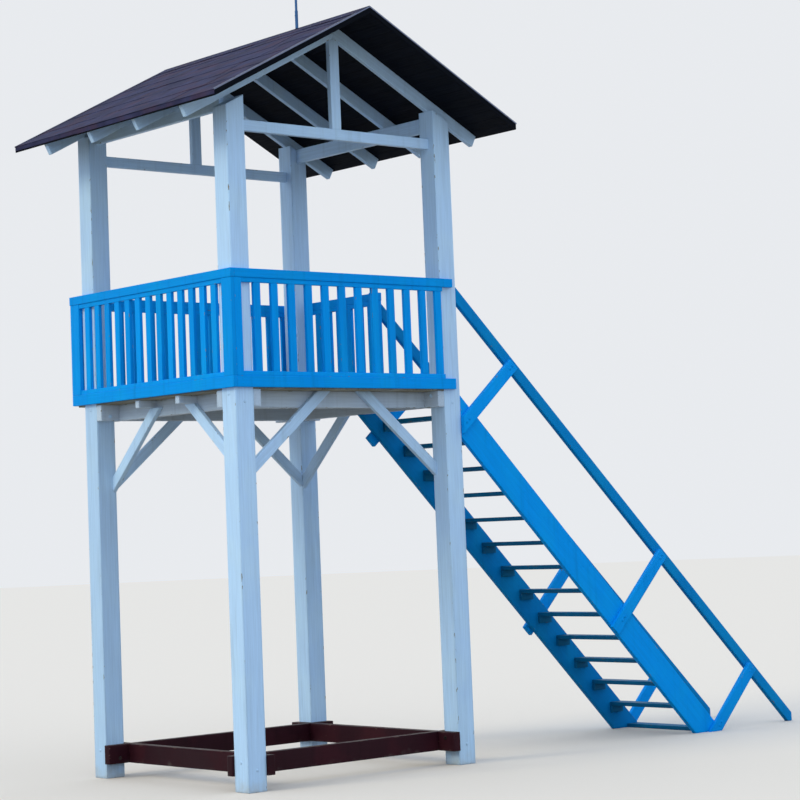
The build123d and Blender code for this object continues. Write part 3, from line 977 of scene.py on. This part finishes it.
tread_count, tread_thick, tread_deep, tread_screw_aside = 14, 0.040, 0.170, 0.045
treads_low, treads_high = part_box("treads")
near_face, far_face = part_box("stringer_near")[0].y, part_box("stringer_far")[1].y
stair_spots = []
for number in range(tread_count):
    share = number / (tread_count - 1)
    height = treads_low.z + tread_thick / 2 + (treads_high.z - treads_low.z - tread_thick) * share
    middle = treads_high.x - tread_deep / 2 + (treads_low.x - treads_high.x + tread_deep) * share
    for aside in (-tread_screw_aside, tread_screw_aside):
        for face, out in ((near_face, -1), (far_face, 1)):
            stair_spots.append(((middle + aside, face, height), (0, out, 0)))
fitted(set_out(screw_pattern, "stair_screws", stair_spots), blue_paint)


# Handrails
# Straight rails of 110 by 50 mm run from the posts to the ground on three struts a side. The struts
# lie on the outer faces of the stringers and the rails, with two coach bolts at each crossing.
deck_top, stair_drop, stringer_deep = 3.540, 0.475, 0.280
string_line = right_x + deck_top - stair_drop + stringer_deep / 2 * hypot(1, 1)
strut_lines = ((3.215, 0.86), (1.228, 1), (-0.032, 1))
rail_deep, rail_head, rail_foot = 0.110, 4.500, 0.090
rail_fall = (rail_head - rail_foot) / (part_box("handrail_near")[1].x - right_x)
rail_line = rail_head - rail_deep * hypot(1, rail_fall) / 2
string_bolt_aside, lowest_bolt, lowest_slack = 0.028, 0.070, 0.020
rail_bolts_in = (0.075, 0.030)
strut_spots = []
# The handrails take the darker copy of the blue paint, which is painted shade.
for number, side in enumerate(("near", "far")):
    timber("handrail_" + side, "hand_rail_" + side, 0.008, 0.014, shaded_blue_paint, 400 + number)
    timber("struts_" + side, "rail_struts_" + side, 0.004, 0.012, blue_paint,
           410 + 4 * number)
    strut_low, strut_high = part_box("struts_" + side)
    face, out = (strut_low.y, -1) if side == "near" else (strut_high.y, 1)
    for height, steep in strut_lines:
        start = Vector((string_line - height, 0, height))
        lean_up = Vector((1, 0, steep)).normalized()
        below = rail_line - rail_fall * (start.x - right_x) - start.z
        to_rail = below / (lean_up.z + rail_fall * lean_up.x)
        foot = max(0.0, (lowest_bolt - start.z) / lean_up.z)
        distances = [foot - string_bolt_aside, foot + string_bolt_aside]
        distances += [to_rail - inset for inset in rail_bolts_in]
        for distance in distances:
            spot = start + lean_up * max(distance, foot - lowest_slack)
            strut_spots.append(((spot.x, face, spot.z), (0, out, 0)))
fitted(set_out(head_pattern, "strut_bolts", strut_spots), blue_paint)


# Setting
# A pale floor under soft daylight from the left. The camera stands where the photograph was taken,
# and its small shift gives the tower the photograph's place in the frame.
def seen_or_mirrored(tree):
    """One for what the camera sees, also in a gloss, and nought for what gives light."""
    rays = put(tree, "LightPath").outputs
    return worked(tree, "MAXIMUM", rays["Is Camera Ray"], rays["Is Glossy Ray"])


def pale_ground():
    """Plain floor that shows pale behind the tower and gives it back no more light than sand does."""
    given_back, shown_pale = (0.30, 0.26, 0.21, 1), (0.90, 0.69, 0.56, 1)
    material, tree, shader = new_material("pale floor")
    colour = mixed(tree, seen_or_mirrored(tree), given_back, shown_pale)
    tree.links.new(colour, shader["Base Color"])
    shader["Roughness"].default_value = 1.0
    shader["Specular IOR Level"].default_value = 0.0
    return material


for pattern in (nut_pattern, head_pattern, screw_pattern, nail_pattern):
    bpy.data.objects.remove(pattern)
bpy.ops.object.select_all(action="DESELECT")
bpy.ops.mesh.primitive_circle_add(vertices=96, radius=90, fill_type="NGON", location=(0, 0, 0))
floor = bpy.context.object
floor.name = "floor"
floor.data.materials.append(pale_ground())

world = bpy.data.worlds.new("daylight")
bpy.context.scene.world = world
world.use_nodes = True
sky = world.node_tree
sky.nodes.clear()
light = put(sky, "Background", {"Color": (0.567, 0.772, 1.0, 1), "Strength": 1.27})
shown = put(sky, "Background", {"Color": (0.81, 0.83, 0.86, 1), "Strength": 1.0})
both = put(sky, "MixShader", {0: seen_or_mirrored(sky), 1: light.outputs[0], 2: shown.outputs[0]})
put(sky, "OutputWorld", {0: both.outputs[0]})

sun_data = bpy.data.lights.new("sun", "SUN")
sun_data.energy = 1.0
sun_data.angle = radians(22)
sun_data.color = (0.86, 0.92, 0.72)
sun = bpy.data.objects.new("sun", sun_data)
bpy.context.scene.collection.objects.link(sun)
sun.rotation_euler = Vector((0.80, -0.12, -0.58)).to_track_quat("-Z", "Y").to_euler()

camera_data = bpy.data.cameras.new("photograph")
camera_data.sensor_width = 36
camera_data.lens = 101.53
camera_data.shift_y = -0.1
camera_data.clip_end = 500
camera = bpy.data.objects.new("photograph", camera_data)
bpy.context.scene.collection.objects.link(camera)
yaw, tilt, roll = radians(-40.7324), radians(5.1975), radians(-2.3495)
turn = Matrix.Rotation(yaw, 4, "Z") @ Matrix.Rotation(radians(90) + tilt, 4, "X")
turn = turn @ Matrix.Rotation(roll, 4, "Z")
camera.matrix_world = Matrix.Translation((-15.155, -17.086, 2.249)) @ turn
bpy.context.scene.camera = camera
bpy.context.scene.view_settings.view_transform = "Standard"
